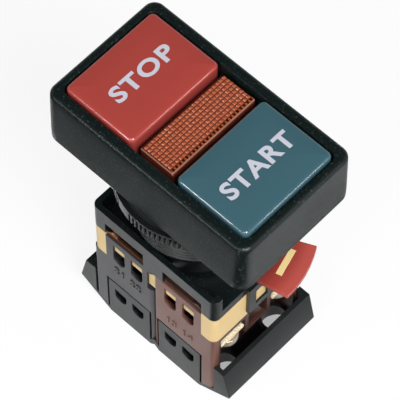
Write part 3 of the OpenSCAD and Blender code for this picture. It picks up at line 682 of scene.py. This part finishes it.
def pit(mesh, mid, low, high, half):
    def ring(near_half, far_half, near_gap, far_gap, z):
        """A hollow's edge, which is wider at its side towards the grid."""
        near, far = low + near_gap, high - far_gap
        return corners(mesh, [(mid - near_half, near), (mid + near_half, near),
                              (mid + far_half, far), (mid - far_half, far)], z)

    edge, mouth = ring(half, half, 0, 0, PIT_TOP), ring(*MOUTH, PIT_TOP)
    floor = ring(*HOLLOW, PLATE)
    join(mesh, edge, mouth)
    # The pit's walls and floor get the near-black amber, which is painted shade.
    join(mesh, mouth, floor, range(4), SHADED_PIT)
    mesh.faces.new(floor).material_index = SHADED_PIT


print("a prism rises", PRISM, "mm")

# %% Build the grid
LENS_W, LENS_L, LENS_LIP, WELD = 21.8, 8.2, 0.4, 1e-6
COLUMNS, ROWS, PIT_ROW, FAR_END, FAR_SIDE = 24, 8, 0.55, 0.1, 0.42


def prisms():
    """The grid, and the row of small pits between it and the lip."""
    mesh = bmesh.new()
    west, south = LENS_LIP - LENS_W / 2, LENS_LIP - LENS_L / 2
    dx = (LENS_W / 2 - FAR_END - west) / COLUMNS
    dy = (LENS_L / 2 - FAR_SIDE - south - PIT_ROW) / ROWS
    for column in range(COLUMNS):
        x = west + column * dx
        for row in range(ROWS):
            prism(mesh, x, south + PIT_ROW + row * dy, dx, dy)
        pit(mesh, x + dx / 2, south, south + PIT_ROW, dx / 2)
    bmesh.ops.remove_doubles(mesh, verts=mesh.verts, dist=WELD)
    return as_object("lens_prisms", mesh, shade=20)


PRISMS = fit(prisms(), "station", "lens_amber", FINISHES["lens_amber"], "pilot_lens")
# The second material is the flanks' painted shade.
PRISMS.data.materials.append(LENS_GROOVE_SHADE)
# The third material is the pits' painted shade.
PRISMS.data.materials.append(LENS_PIT_SHADE)

# %% Build the wall and the lip
LENS_FOOT, RIM_CUT, RIM_DROP, RIM_INNER_R = 5.0, 0.08, 0.1, 0.1
LIP_OUT = ((LENS_W - 0.14, 0.14), (0.4, 0.14), (0.16, 0.2), (0.06, 0.42), (0.06, LENS_L - 0.24))
LIP_IN = ((LENS_W - 0.14, 0.36), (0.5, 0.36), (0.36, 0.4), (0.2, 0.6), (0.17, LENS_L - 0.24))
LIP_WALK = ((0.0, -0.6), (0.0, -0.16), (0.12, -0.04), (0.35, 0.0), (0.75, 0.0), (1.0, -0.06),
            (1.0, -0.6))


def rim():
    """The wall under the grid."""
    inner = outline(LENS_W - 2 * LENS_LIP, LENS_L - 2 * LENS_LIP, RIM_INNER_R)
    outer = outline(LENS_W, LENS_L, LENS_LIP)
    top = outline(LENS_W - 2 * RIM_CUT, LENS_L - 2 * RIM_CUT, LENS_LIP)
    rings = [at(inner, LENS_FOOT), at(outer, LENS_FOOT), at(outer, PLATE - RIM_DROP),
             at(top, PLATE), at(inner, PLATE)]
    return loft("lens_rim", rings, closed=True)


def lip():
    """The polished bar along the near long side, which turns the corner onto the near end.
    Its path is measured from that corner. The walk goes over it, by its share of the way from
    the outer side to the inner one and its height under the lens's top."""
    x, y = 0.02 - LENS_W / 2, 0.02 - LENS_L / 2
    rings = []
    for (ox, oy), (ix, iy) in zip(LIP_OUT, LIP_IN):
        rings.append([(x + ox + (ix - ox) * share, y + oy + (iy - oy) * share, LENS_TOP + rise)
                      for share, rise in LIP_WALK])
    return loft("lens_lip", rings)


# The rim's dark amber is painted shade.
fit(rim(), "station", "lens_amber", LENS_RIM_SHADE, "pilot_lens")
# The lip's pale amber is a painted highlight.
fit(lip(), "station", "lens_amber", LENS_LIP_HIGHLIGHT, "pilot_lens")

# %% [markdown]
# ## The threaded neck
# A thread is one ridge that climbs as it turns. If the rows of the mesh climb with it, every
# crest is an unbroken line of edges, and few faces are needed. The rows that would leave the
# neck at its ends are held at its end planes.

# %% A thread, and points on a circle
THREAD_PROFILE = (0.0, 0.0, -0.5, -1.0, -1.0, -0.5)


def thread(mesh, centre, radius, low, high, pitch, depth, steps):
    """Adds a threaded surface about a vertical axis."""
    per_pitch = len(THREAD_PROFILE)
    grid = []
    for row in range(int((high - low) / pitch * per_pitch) + 2 * per_pitch):
        ring = []
        for step in range(steps + 1):
            turn = 2 * math.pi * step / steps
            z = low + pitch * ((row - per_pitch) / per_pitch + step / steps)
            reach = radius + depth * THREAD_PROFILE[row % per_pitch]
            place = (centre[0] + reach * math.cos(turn), centre[1] + reach * math.sin(turn),
                     min(high, max(low, z)))
            ring.append(mesh.verts.new(Vector(place) * MM))
        grid.append(ring)
    for below, above in zip(grid, grid[1:]):
        for i in range(steps):
            mesh.faces.new((below[i], below[i + 1], above[i + 1], above[i]))
    bmesh.ops.remove_doubles(mesh, verts=mesh.verts, dist=2 * WELD)
    bmesh.ops.dissolve_degenerate(mesh, edges=mesh.edges, dist=2 * WELD)


def arc(centre, radius, z, count, start, end):
    """Points on a circle between two angles."""
    turns = [start + (end - start) * k / (count - 1) for k in range(count)]
    return [(centre[0] + radius * math.cos(t), centre[1] + radius * math.sin(t), z)
            for t in turns]


def circle(centre, radius, z, count):
    return arc(centre, radius, z, count, 0.0, 2 * math.pi * (count - 1) / count)


print("a thread has", len(THREAD_PROFILE), "rows for each turn")

# %% Wind the thread
NECK_R, NECK_BORE, NECK_FOOT, THREAD_FOOT = 12.5, 9.5, -25.2, -16.2
PITCH, THREAD_DEPTH, THREAD_SINK, NECK_STEPS, FOOT_EDGE = 1.0, 0.4, 0.02, 72, 0.15
GROOVE_R, GROOVE_LOW, GROOVE_HIGH = 10.2, -23.9, -22.2
AXIS = (0.0, 0.0)


def neck():
    mesh = bmesh.new()
    thread(mesh, AXIS, NECK_R, THREAD_FOOT, 0.0, PITCH, THREAD_DEPTH, NECK_STEPS)
    return as_object("neck_thread", mesh, shade=50)


def neck_core():
    """The tube under the thread, with the groove that holds the lever."""
    root = NECK_R - THREAD_DEPTH + THREAD_SINK
    walk = [(NECK_BORE, NECK_FOOT), (SHANK_R - FOOT_EDGE, NECK_FOOT),
            (SHANK_R, NECK_FOOT + FOOT_EDGE), (SHANK_R, GROOVE_LOW), (GROOVE_R, GROOVE_LOW),
            (GROOVE_R, GROOVE_HIGH), (SHANK_R, GROOVE_HIGH), (SHANK_R, THREAD_FOOT),
            (root, THREAD_FOOT), (root, 0.0), (SHANK_R, 0.0), (SHANK_R, WELL_FLOOR),
            (NECK_BORE, WELL_FLOOR)]
    return loft("neck_core", [circle(AXIS, r, z, NECK_STEPS) for r, z in walk], closed=True)


fit(neck(), "station", "neck_black", FINISHES["neck_black"], "threaded_neck")
fit(neck_core(), "station", "neck_black", FINISHES["neck_black"], "threaded_neck")

# %% [markdown]
# ## The terminals
# A wire is held between a ribbed clamp plate and the contact strip, and a slotted screw draws the
# two together. The screw is reached from below, so its head hangs under the plate. The head is a
# disc with a rounded rim and two half discs that leave the slot between them.

# %% Turn the screws
TERM_X, TERM_Y, CLAMP_TOP, CLAMP_FOOT = 7.3, 14.4, -37.85, -39.0
HEAD_R, HEAD_FOOT, HEAD_LAP, SLOT_TOP, SLOT_W = 2.6, -41.0, 0.02, -40.1, 0.8
SCREW_R, SCREW_TOP, SCREW_PITCH, SCREW_DEPTH, SCREW_SINK = 1.5, -35.3, 0.6, 0.18, 0.01
SCREW_STEPS, DISC_STEPS, HALF_STEPS = 24, 36, 19
SHOULDER = ((-0.4, 0.0), (-0.12, -0.07), (0.0, -0.3))
HEAD_EDGE = ((0.0, 0.45), (-0.06, 0.2), (-0.22, 0.05), (-0.5, 0.0))
TERMINALS = [(sx, sy) for sx in (-1, 1) for sy in (-1, 1)]


def head_disc(mesh, centre):
    """The screw's core, and its head down to the slot. It laps a little into the half discs."""
    core = SCREW_R - SCREW_DEPTH + SCREW_SINK
    walk = [(core, SCREW_TOP), (core, CLAMP_FOOT)]
    walk += [(HEAD_R + reach, CLAMP_FOOT + rise) for reach, rise in SHOULDER]
    walk.append((HEAD_R, SLOT_TOP - HEAD_LAP))
    skin(mesh, [circle(centre, r, z, DISC_STEPS) for r, z in walk])


def half_disc(mesh, centre, side):
    walk = [(HEAD_R, SLOT_TOP)]
    walk += [(HEAD_R + reach, HEAD_FOOT + rise) for reach, rise in HEAD_EDGE]
    rings = []
    for r, z in walk:
        lean = math.asin(SLOT_W / 2 / r)
        start, end = side * math.pi + lean, (side + 1) * math.pi - lean
        rings.append(arc(centre, r, z, HALF_STEPS, start, end))
    skin(mesh, rings)


def screws():
    mesh = bmesh.new()
    for sx, sy in TERMINALS:
        centre = (sx * TERM_X, sy * TERM_Y)
        thread(mesh, centre, SCREW_R, CLAMP_FOOT, SCREW_TOP, SCREW_PITCH, SCREW_DEPTH,
               SCREW_STEPS)
        head_disc(mesh, centre)
        for side in (0, 1):
            half_disc(mesh, centre, side)
    bmesh.ops.recalc_face_normals(mesh, faces=mesh.faces)
    return as_object("slotted_screws", mesh)


fit(screws(), "station", "terminal_steel", SCREW_ZINC, "terminal_screws")

# %% Press the clamps
CLAMP_W, CLAMP_L, CLAMP_IN, CLAMP_CUT, CLAMP_EDGE = 6.5, 4.6, 0.4, 0.2, 0.4
RIBS, RIB = 9, ((0.08, -0.26), (0.26, 0.0), (0.46, 0.0), (0.64, -0.26))
CLAMP_ENDS = ((-0.5, 0.12), (-0.47, 0.0), (0.47, 0.0), (0.5, 0.12))


def clamps():
    """Plates with ribs on top, which bite into the wire."""
    mesh = bmesh.new()
    half = CLAMP_W / 2
    plate = [(CLAMP_W * k / RIBS - half + x, CLAMP_TOP + z) for k in range(RIBS) for x, z in RIB]
    plate += [(half, CLAMP_TOP - CLAMP_EDGE), (half, CLAMP_FOOT + CLAMP_CUT),
              (half - CLAMP_CUT, CLAMP_FOOT), (CLAMP_CUT - half, CLAMP_FOOT),
              (-half, CLAMP_FOOT + CLAMP_CUT), (-half, CLAMP_TOP - CLAMP_EDGE)]
    for sx, sy in TERMINALS:
        rings = []
        for along, inset in CLAMP_ENDS:
            y, narrower = sy * (TERM_Y - CLAMP_IN + along * CLAMP_L), 1 - inset / CLAMP_W
            rings.append([(sx * TERM_X + x * narrower, y, min(z, CLAMP_TOP - inset))
                          for x, z in plate])
        skin(mesh, rings)
    bmesh.ops.recalc_face_normals(mesh, faces=mesh.faces)
    return as_object("ribbed_clamps", mesh, shade=30)


fit(clamps(), "station", "terminal_steel", FINISHES["terminal_steel"], "terminal_clamps")

# %% [markdown]
# ## The springs
# A pressed cap shortens its return spring, and the rod behind it shortens the spring under the
# contact carrier. A rigid spring would cut through the piece that presses it. These four are
# wound here, with a closed turn at each end.

# %% Wind the springs
TRAVEL, WIRE, TURN_STEPS, WIRE_SIDES = 4.0, 0.28, 20, 8
SPRINGS = (  # piece, node, joint, its place along Y, foot, top, outer radius and turns
    ("stop_spring", "stop_return_spring", "stop_press", 15.1, 2.02, 9.98, 2.18, 6),
    ("start_spring", "start_return_spring", "start_press", -15.1, 2.02, 9.98, 2.18, 6),
    ("stop_carrier_spring", "grey_carrier_spring", "stop_contact_slide",
     7.8, -56.98, -45.02, 2.38, 8),
    ("start_carrier_spring", "brown_carrier_spring", "start_contact_slide",
     -7.8, -56.98, -45.02, 2.38, 8),
)


def coil(name, centre_y, low, high, outer, turns):
    """A round wire wound about a vertical axis. The end turns lie against their neighbours."""
    mean, rise = outer - WIRE, high - low - 2 * WIRE
    rings = []
    for k in range(turns * TURN_STEPS + 1):
        turn = k / TURN_STEPS
        if turn < 1:
            z = 2 * WIRE * turn
        elif turn > turns - 1:
            z = rise - 2 * WIRE * (turns - turn)
        else:
            z = 2 * WIRE + (rise - 4 * WIRE) * (turn - 1) / (turns - 2)
        angle = 2 * math.pi * turn
        ring = []
        for side in range(WIRE_SIDES):
            around = 2 * math.pi * side / WIRE_SIDES
            reach = mean + WIRE * math.cos(around)
            ring.append((reach * math.cos(angle), centre_y + reach * math.sin(angle),
                         low + WIRE + z + WIRE * math.sin(around)))
        rings.append(ring)
    return loft(name, rings)


for name, node, joint, centre_y, low, high, outer, turns in SPRINGS:
    spring = fit(coil(name, centre_y, low, high, outer, turns),
                 "station", "spring_steel", FINISHES["spring_steel"], node)
    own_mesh(spring)

# %% [markdown]
# ## Terminal numbers
# The long side of each block carries its terminal numbers, raised by two tenths of a millimetre
# as the mould leaves them. They are the plain numbers that every such block has.

# %% Raise the numbers
BLOCK_SIDE, NUMBER_SIZE, RAISED = -12.5, 2.7, 0.2


def numbers(name, word, centre_y, centre_z):
    mesh = letters(name, word, NUMBER_SIZE, weight=0.02, spacing=1.2, depth=RAISED)
    for vertex in mesh.verts:
        along, up, out = vertex.co
        vertex.co = Vector((BLOCK_SIDE - out, centre_y - along, centre_z + up)) * MM
    bmesh.ops.recalc_face_normals(mesh, faces=mesh.faces)
    return as_object(name, mesh)


fit(numbers("grey_numbers", "21 22", 7.0, -38.3),
    "station", "housing_grey", FINISHES["housing_grey"])
fit(numbers("brown_numbers", "13 14", -6.9, -40.7),
    "station", "housing_brown", FINISHES["housing_brown"])

# %% [markdown]
# ## Floor, light and camera
# The photograph was taken with a long lens from in front and above, on white. A pale floor keeps
# the object's shadow, and the background that the camera sees is plain white. In the polished
# faces the photo shows darker surroundings, so a mirrored ray finds the floor dim in a strip
# before the object, on its left, and at the corner between them.

# %% Masks on the floor, each by where it starts and how wide its soft step is
UNDER_X, UNDER_Y = (10, 2), (17, 2)
FRONT, FRONT_END, LEFT, BACK = (25, 4), (36, 10), (28, 14), (10, 34)
CORNER_X, CORNER_Y = (12, 10), (6, 10)
FRONT_SHARE, END_SHARE, LEFT_SHARE, BACK_SHARE, CORNER_SHARE = 0.98, 0.72, 0.95, 0.85, 0.97


def beyond(wire, span):
    return wire.above(span[0] * MM, span[1] * MM)


def under_object(x, y):
    return 1.0 - beyond(abs(x), UNDER_X).or_more(beyond(abs(y), UNDER_Y))


def mirrored_shade(x, y):
    """How much of the dim floor a mirrored ray finds, and how black it is there."""
    left, front = 0.0 - x, 0.0 - y
    corner = beyond(left, CORNER_X) * beyond(front, CORNER_Y) * CORNER_SHARE
    strip = beyond(front, FRONT) * FRONT_SHARE - beyond(front, FRONT_END) * END_SHARE
    share = strip.or_more(beyond(left, LEFT) * LEFT_SHARE).or_more(corner)
    return share, 1.0 - (1.0 - corner) * (1.0 - beyond(y, BACK) * BACK_SHARE)


print("the dim strip starts", FRONT[0], "mm before the middle")

# %% Floor
FLOOR_Z, FLOOR_REACH, FLOOR_WHITE, DIM = -58.0, 3.0, (0.86, 0.86, 0.86), (0.2, 0.21, 0.21)
WHITE, BLACK = (1.0, 1.0, 1.0), (0.0, 0.0, 0.0)
SEEN_GLOW, UNDER_LOSS, MIRRORED_GLOW = 0.87, 0.5, 0.3


def glow(graph, colour):
    return graph.node("Emission", {}, {"Color": (*colour, 1.0), "Strength": 1.0})


def blend(graph, factor, first, second):
    return graph.node("MixShader", {}, [factor, first, second])


def studio_floor():
    mesh = bmesh.new()
    bmesh.ops.create_grid(mesh, x_segments=8, y_segments=8, size=FLOOR_REACH)
    floor = as_object("studio_floor", mesh)
    floor.location.z = FLOOR_Z * MM
    shader = Shader("floor white", Specular_IOR_Level=0.0)
    shader.finish(FLOOR_WHITE, 0.9, shader.noise(30.0), 0.01)
    surface = Wire(shader, shader.surface.outputs[0])
    seen = shader.node("LightPath", output="Is Camera Ray")
    mirrored = shader.node("LightPath", output="Is Glossy Ray")
    x, y = shader.along("X", "Y")
    share, black = mirrored_shade(x, y)
    lit = seen * (SEEN_GLOW - UNDER_LOSS * under_object(x, y)) + mirrored * MIRRORED_GLOW
    bright = blend(shader, lit, surface, glow(shader, WHITE))
    dim = blend(shader, black, glow(shader, DIM), glow(shader, BLACK))
    ground = blend(shader, mirrored * share, bright, dim)
    shader.feed(shader.tree.nodes["Material Output"].inputs["Surface"], ground)
    floor.data.materials.append(shader.material)
    print("floor at", floor.location.z)


studio_floor()

# %% World
DOME = [(0.0, (0.7, 0.7, 0.7)), (0.5, (0.7, 0.7, 0.7)), (0.68, (0.45, 0.46, 0.47)),
        (0.8, (0.02, 0.03, 0.03)), (1.0, (0.01, 0.02, 0.02))]


def studio_sky():
    """White to the camera. For light, a pale band along the horizon under a dark ceiling."""
    world = bpy.data.worlds.new("studio")
    bpy.context.scene.world = world
    world.use_nodes = True
    graph = Graph(world.node_tree)
    towards = graph.node("TexCoord", output="Generated")
    height = graph.node("SeparateXYZ", {}, [towards], "Z")
    dome = graph.node("ValToRGB", {"stops": DOME}, [height * 0.5 + 0.5])
    light = graph.node("Background", {}, {"Color": dome, "Strength": 1.0})
    white = graph.node("Background", {}, {"Color": (*WHITE, 1.0), "Strength": 1.0})
    seen = graph.node("LightPath", output="Is Camera Ray")
    through = graph.node("LightPath", output="Is Transmission Ray")
    graph.feed(graph.tree.nodes["World Output"].inputs["Surface"],
               blend(graph, seen.or_more(through), light, white))
    print("sky over", world.name)


studio_sky()

# %% Lamps
def lamp(name, azimuth, elevation, distance, size, power):
    """A square soft box that looks at the object. Azimuth 0 is in front, towards -Y."""
    light = bpy.data.lights.new(name, "AREA")
    light.size = size
    light.energy = power
    thing = bpy.data.objects.new(name, light)
    a, e = math.radians(azimuth), math.radians(elevation)
    away = Vector((math.sin(a) * math.cos(e), -math.cos(a) * math.cos(e), math.sin(e)))
    thing.location = away * distance
    thing.rotation_euler = away.to_track_quat("Z", "Y").to_euler()
    bpy.context.scene.collection.objects.link(thing)
    print(name, "at", tuple(round(c, 3) for c in thing.location))


lamp("key", azimuth=-20, elevation=50, distance=0.9, size=0.4, power=9)
lamp("fill", azimuth=-75, elevation=40, distance=1.0, size=0.4, power=3)
lamp("edge_left", azimuth=-111, elevation=20, distance=0.9, size=0.08, power=1.1)
lamp("edge_front", azimuth=24, elevation=18, distance=0.9, size=0.08, power=0.5)

# %% Camera
CAMERA_PLACE = (-183.91, -172.28, 427.65)
CAMERA_TURN = (0.5183, -0.003, -0.81448)
LENS_LENGTH, SENSOR, CLIP = 241.93, 36.0, (0.01, 20.0)


def camera():
    data = bpy.data.cameras.new("camera")
    data.lens = LENS_LENGTH
    data.sensor_width = SENSOR
    data.clip_start, data.clip_end = CLIP
    thing = bpy.data.objects.new("camera", data)
    thing.location = Vector(CAMERA_PLACE) * MM
    thing.rotation_euler = CAMERA_TURN
    bpy.context.scene.collection.objects.link(thing)
    bpy.context.scene.camera = thing
    print("camera", data.lens, "mm")


camera()
bpy.context.scene.view_settings.view_transform = "Standard"
